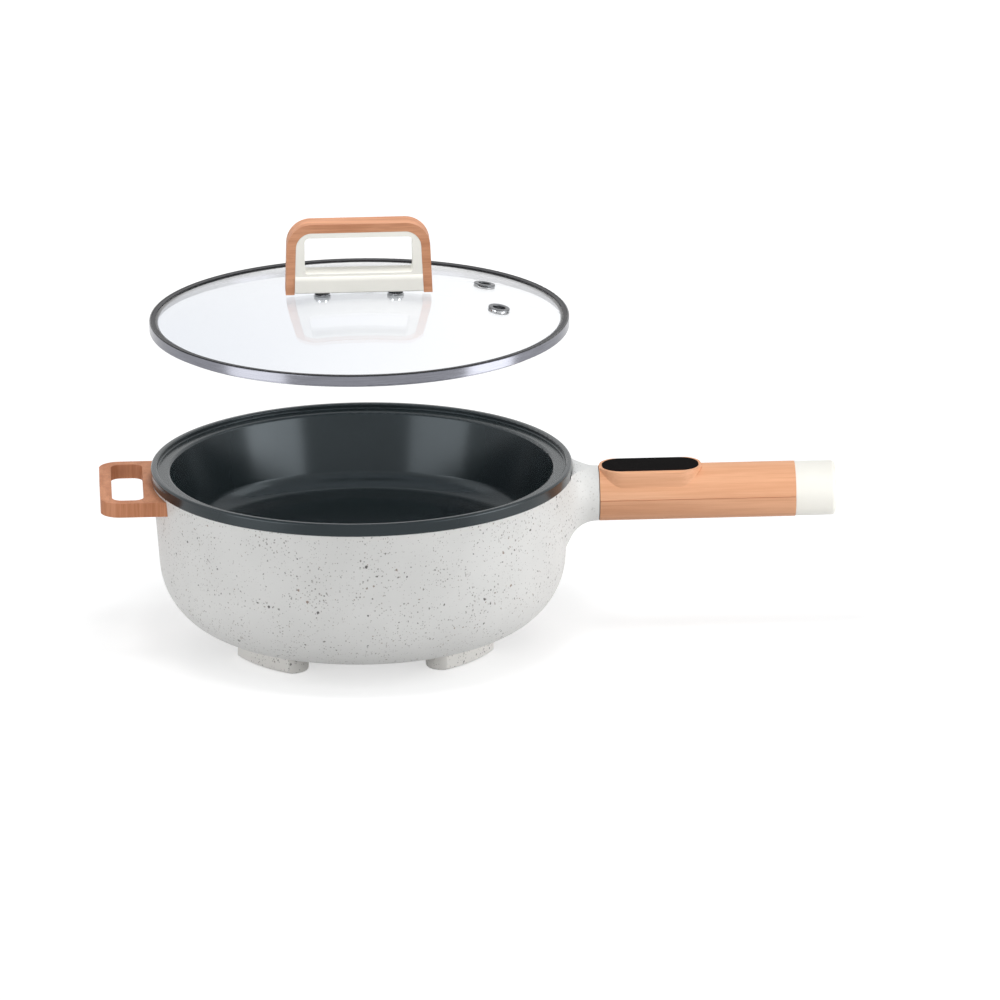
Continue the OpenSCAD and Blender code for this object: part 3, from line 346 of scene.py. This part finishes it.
# Painted light: a lighter copy of the loop's wood, standing in for light from above on the bail; its stronger
# flecks are grain
bail_wood_painted_light = make_wood("bail_wood_painted_light", rgb(220, 162, 127), rgb(188, 129, 95), *BAIL_GRAIN,
                      line=rgb(146, 92, 63), fleck=0.45)
body_mat = make_body("body_white", rgb(224, 224, 222), rgb(229, 229, 227), speck_amount=1.0)
# Painted light: a lighter copy of the body's white for the base and its feet, standing in for light bounced
# up from the floor
base_mat_painted_light = make_body("base_white_painted_light", rgb(240, 238, 234), rgb(245, 243, 239), speck_amount=0.8)
cream = make_plastic("cream_plastic", rgb(246, 244, 236), roughness=0.36, specular=0.45, vary=0.02)
dark_silicone = make_plastic("silicone_dark", rgb(58, 58, 60), roughness=0.55, specular=0.4)
white_silicone = make_plastic("silicone_white", rgb(247, 247, 246), roughness=0.5, specular=0.3, vary=0.01)
grey_silicone = make_plastic("silicone_grey", rgb(150, 151, 150), roughness=0.6, specular=0.3)
ceramic = make_plastic("ceramic_white", rgb(226, 220, 208), roughness=0.4)
board = make_plastic("circuit_board", rgb(44, 104, 68), roughness=0.45, vary=0.2)
red_lead = make_plastic("lead_heater", rgb(160, 44, 44), roughness=0.5, specular=0.4)
blue_lead = make_plastic("lead_mains", rgb(58, 84, 150), roughness=0.5, specular=0.4)
inlet_black = make_plastic("inlet_black", rgb(28, 28, 29), roughness=0.5, specular=0.4)
vent_steel = make_metal("vent_steel", rgb(122, 124, 127), roughness=0.30, stretch=even(700.0))
fastener = make_metal("steel_fastener", rgb(176, 178, 180), roughness=0.30, stretch=even(900.0))
lid_screw_steel = make_metal("lid_screw_steel", rgb(240, 241, 243), roughness=0.14, stretch=even(900.0))
aluminium = make_metal("bare_aluminium", rgb(188, 190, 192), roughness=0.45, stretch=even(300.0))
element_steel = make_metal("element_steel", rgb(150, 140, 130), roughness=0.40, stretch=even(400.0))
shield_steel = make_metal("shield_steel", rgb(190, 192, 194), roughness=0.35, stretch=(40.0, 800.0, 40.0))
brass = make_metal("pin_brass", rgb(206, 180, 120), roughness=0.28, stretch=even(500.0))

NODE_MATERIALS = {
    "outer_shell": body_mat, "base_cover": base_mat_painted_light, "inner_pot": make_pot(),
    "handle_upper": handle_wood, "handle_lower": under_wood_painted_shade,
    "helper_handle": loop_wood, "lid_grip": bail_wood_painted_light,
    "handle_end_cap": cream, "lid_handle_core": cream,
    "lid_band": make_band(), "lid_seal": dark_silicone, "steam_vents": vent_steel,
    "shield_screws": fastener, "pot_screws": fastener, "base_screws": fastener,
    "handle_screws": fastener, "helper_screws": fastener, "lid_screws": lid_screw_steel,
    "lid_spacers": dark_silicone, "lid_backing_washers": white_silicone, "foot_pads": grey_silicone,
    "control_panel": make_panel(), "lid_glass": make_glass(),
    "heat_plate": aluminium, "heating_element": element_steel, "heat_shield": shield_steel,
    "thermostat": ceramic, "thermal_fuse": ceramic,
    "touch_board": board, "power_board": board,
    "heater_leads": red_lead, "mains_leads": blue_lead,
    "power_inlet": inlet_black, "inlet_pins": brass,
}
for name, obj in nodes.items():
    obj.data.materials.clear()
    obj.data.materials.append(NODE_MATERIALS[name])


# Far corners of the touch board, which would show through the handle at the end of the panel's deck

BOARD_GAP = 0.0002
KEY_RISE = 0.0025
LENS_CORNER = 0.0135
DECK_BORDER = 0.0022
PLUG = 0.004
PLUG_STEPS = 8
CHAMFER = 0.009
SAME_POINT = 1e-6
SIDES = (-1.0, 1.0)


def prism(bm, outline, depth):
    """Adds a closed prism to bm: a ring of points drawn out along depth."""
    near = [bm.verts.new(point) for point in outline]
    far = [bm.verts.new(point + depth) for point in outline]
    bm.faces.new(near)
    bm.faces.new(far[::-1])
    for i, j in zip(range(len(near)), list(range(1, len(near))) + [0]):
        bm.faces.new((near[i], near[j], far[j], far[i]))


def cooker_piece(name, bm, material):
    """Turns bm into a piece that moves with the cooker."""
    bmesh.ops.recalc_face_normals(bm, faces=bm.faces)
    mesh = bpy.data.meshes.new(name)
    bm.to_mesh(mesh)
    bm.free()
    mesh.materials.append(material)
    obj = bpy.data.objects.new(name, mesh)
    scene.collection.objects.link(obj)
    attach(obj, "cooker")
    return obj


def deck_corner_plugs():
    """Wooden plugs, flush with the handle, in the two corners where the board's pocket comes through it.

    Each is a prism along the handle, under its round side, and one upright, behind the round end of the deck.
    """
    board_high, lens_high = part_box("touch_board")[1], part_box("control_panel")[1]
    handle_low, handle_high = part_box("handle_lower")
    radius = handle_high.y
    axis_z = handle_low.z + radius
    end_x, side_y = board_high.x + BOARD_GAP, board_high.y + BOARD_GAP
    top_z = board_high.z - KEY_RISE
    floor_z = top_z - PLUG
    centre_x, centre_y = lens_high.x - LENS_CORNER, lens_high.y - LENS_CORNER
    deck_r = LENS_CORNER + DECK_BORDER
    steps = [PLUG * i / PLUG_STEPS for i in range(PLUG_STEPS + 1)]
    xs = [end_x - step for step in steps]
    ys = [side_y - step for step in steps]
    bm = bmesh.new()
    for side in SIDES:
        crown = []
        for y in ys:
            handle_z = axis_z + math.sqrt(radius ** 2 - y ** 2)
            crown.append(Vector((end_x - PLUG, side * y, min(top_z, handle_z))))
        foot = [Vector((end_x - PLUG, side * y, floor_z)) for y in (ys[-1], ys[0])]
        prism(bm, crown + foot, Vector((PLUG, 0.0, 0.0)))
        edge = []
        for x in xs:
            deck_y = centre_y + math.sqrt(deck_r ** 2 - (x - centre_x) ** 2)
            edge.append(Vector((x, side * min(side_y, deck_y), floor_z)))
        inner = [Vector((x, side * ys[-1], floor_z)) for x in (xs[-1], xs[0])]
        prism(bm, edge + inner, Vector((0.0, 0.0, PLUG)))
    return cooker_piece("deck_corner_plugs", bm, handle_wood)


def trimmed_touch_board():
    """The touch board with its two far corners cut off, so that they stay inside the handle."""
    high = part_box("touch_board")[1]
    bm = bmesh.new()
    bm.from_mesh(nodes["touch_board"].data)
    bmesh.ops.remove_doubles(bm, verts=bm.verts, dist=SAME_POINT)
    for side in SIDES:
        cut = bmesh.ops.bisect_plane(
            bm, geom=bm.verts[:] + bm.edges[:] + bm.faces[:], clear_outer=True,
            plane_co=(high.x - CHAMFER, side * high.y, 0.0), plane_no=(1.0, side, 0.0))
        rim = [part for part in cut["geom_cut"] if isinstance(part, bmesh.types.BMEdge)]
        bmesh.ops.edgeloop_fill(bm, edges=rim)
    return cooker_piece("touch_board_trimmed", bm, board)


deck_corner_plugs()
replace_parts(trimmed_touch_board(), "touch_board")


# Camera, placed so that the rim's centre falls on its pixel of the square picture

PICTURE_PX = 1000.0
SENSOR_MM = 36.0
CLIP_NEAR, CLIP_FAR = 0.1, 100.0
AZIMUTH = math.radians(-2.4)
ELEVATION = math.radians(17.2)
ROLL = math.radians(0.65)
FOCAL_PX = 12000.0
METRES_PER_PX = 0.0006882
RIM_CENTRE = Vector((0.0, 0.0, 0.127))
RIM_PX = (361.4, 462.3)


def bearing(azimuth, elevation):
    """Unit vector away from the object, azimuth 0 being the front."""
    return Vector((math.sin(azimuth) * math.cos(elevation), -math.cos(azimuth) * math.cos(elevation),
                   math.sin(elevation)))


back = bearing(AZIMUTH, ELEVATION)
level = Vector((math.cos(AZIMUTH), math.sin(AZIMUTH), 0.0))
upward = back.cross(level)
right = level * math.cos(ROLL) - upward * math.sin(ROLL)
up = level * math.sin(ROLL) + upward * math.cos(ROLL)
place = (RIM_CENTRE + back * (FOCAL_PX * METRES_PER_PX)
         + right * ((PICTURE_PX / 2.0 - RIM_PX[0]) * METRES_PER_PX)
         - up * ((PICTURE_PX / 2.0 - RIM_PX[1]) * METRES_PER_PX))
camera_data = bpy.data.cameras.new("camera")
camera_data.sensor_width = SENSOR_MM
camera_data.lens = FOCAL_PX * SENSOR_MM / PICTURE_PX
camera_data.clip_start = CLIP_NEAR
camera_data.clip_end = CLIP_FAR
camera = bpy.data.objects.new("camera", camera_data)
camera.matrix_world = Matrix((
    (right.x, up.x, back.x, place.x),
    (right.y, up.y, back.y, place.y),
    (right.z, up.z, back.z, place.z),
    (0.0, 0.0, 0.0, 1.0)))
scene.collection.objects.link(camera)
scene.camera = camera


# Floor, world and lamps

FLOOR_HALF = 30.0
FLOOR_TONES = ((0.60, 0.60, 0.60, 1.0), (0.63, 0.63, 0.63, 1.0))
NEAR_FILL = 0.57
# Where the fill starts to grow and where it ends, behind, before and beside the object, and what it ends at
FILL_BEHIND = (-0.35, 1.7, NEAR_FILL, 0.765)
FILL_BEFORE = (0.5, 1.4, NEAR_FILL, 0.86)
FILL_BESIDE = (0.45, 1.2, NEAR_FILL, 0.86)
WORLD_LIGHT = 0.24
WORLD_TONE = (0.97, 0.985, 1.0, 1.0)
LAMP_TARGET = Vector((0.05, 0.0, 0.1))


def make_floor():
    """Pale floor that keeps the shadow, with a fill that grows where the lamps no longer reach it."""
    mesh = bpy.data.meshes.new("floor")
    r = FLOOR_HALF
    mesh.from_pydata([(-r, -r, 0.0), (r, -r, 0.0), (r, r, 0.0), (-r, r, 0.0)], [], [(0, 1, 2, 3)])
    obj = bpy.data.objects.new("floor", mesh)
    scene.collection.objects.link(obj)
    sh = Shader("floor_pale")
    tone = sh.mix(sh.noise(scale=0.6, detail=2.0), *FLOOR_TONES)
    sh.set(Base_Color=tone, Roughness=0.9, Specular_IOR_Level=0.0)
    x, y, _ = sh.position()
    behind = sh.ramp(y, *FILL_BEHIND)
    before = sh.ramp(sh.math("MULTIPLY", y, -1.0), *FILL_BEFORE)
    beside = sh.ramp(sh.math("ABSOLUTE", x), *FILL_BESIDE)
    fill = sh.math("MAXIMUM", behind, sh.math("MAXIMUM", before, beside))
    white = sh.add("ShaderNodeEmission")
    sh.feed(white, Color=WHITE, Strength=sh.math("MULTIPLY", sh.seen_directly(), fill))
    both = sh.join("ShaderNodeAddShader", sh.bsdf.outputs["BSDF"], white.outputs["Emission"])
    sh.link(both.outputs["Shader"], sh.out.inputs["Surface"])
    obj.data.materials.append(sh.mat)


def make_world():
    """White where it is seen, a low cool light elsewhere."""
    world = bpy.data.worlds.new("studio")
    scene.world = world
    world.use_nodes = True
    tree = Tree(world.node_tree)
    light = tree.add("ShaderNodeBackground")
    tree.feed(light, Color=WORLD_TONE, Strength=WORLD_LIGHT)
    white = tree.add("ShaderNodeBackground")
    tree.feed(white, Color=WHITE, Strength=1.0)
    choose = tree.join("ShaderNodeMixShader", light.outputs[0], white.outputs[0])
    tree.feed(choose, Fac=tree.seen_directly())
    tree.link(choose.outputs[0], tree.add("ShaderNodeOutputWorld").inputs["Surface"])


def softbox(name, azimuth, elevation, distance, size, power, mirrored=True):
    """Area lamp that faces the object, placed by its bearing from the front, height angle and distance."""
    away = bearing(math.radians(azimuth), math.radians(elevation))
    data = bpy.data.lights.new(name, "AREA")
    data.shape = "RECTANGLE"
    data.size, data.size_y = size
    data.energy = power
    obj = bpy.data.objects.new(name, data)
    obj.location = LAMP_TARGET + away * distance
    obj.rotation_euler = away.to_track_quat("Z", "Y").to_euler()
    obj.visible_camera = False
    obj.visible_glossy = mirrored
    obj.visible_transmission = mirrored
    scene.collection.objects.link(obj)


make_floor()
make_world()
softbox("strip_left", azimuth=-53.0, elevation=11.0, distance=2.4, size=(1.6, 0.6), power=8.0)
softbox("strip_right", azimuth=54.0, elevation=11.0, distance=2.4, size=(1.6, 0.6), power=11.2)
softbox("side_left", azimuth=-88.0, elevation=26.0, distance=2.4, size=(1.2, 1.0), power=2.0)
softbox("side_right", azimuth=84.0, elevation=28.0, distance=2.4, size=(1.2, 1.0), power=5.0)
softbox("overhead", azimuth=10.0, elevation=45.0, distance=2.4, size=(1.6, 1.2), power=8.0, mirrored=False)
softbox("back_top", azimuth=180.0, elevation=34.0, distance=2.4, size=(1.6, 1.0), power=10.0, mirrored=False)
softbox("overhead_near", azimuth=-20.0, elevation=78.0, distance=0.8, size=(0.4, 0.3), power=3.2,
        mirrored=False)
softbox("helper_fill", azimuth=-57.0, elevation=-3.0, distance=0.67, size=(0.36, 0.20), power=0.55)
softbox("handle_fill", azimuth=66.0, elevation=-1.0, distance=0.62, size=(0.34, 0.20), power=0.75)

bpy.context.scene.view_settings.view_transform = "Standard"
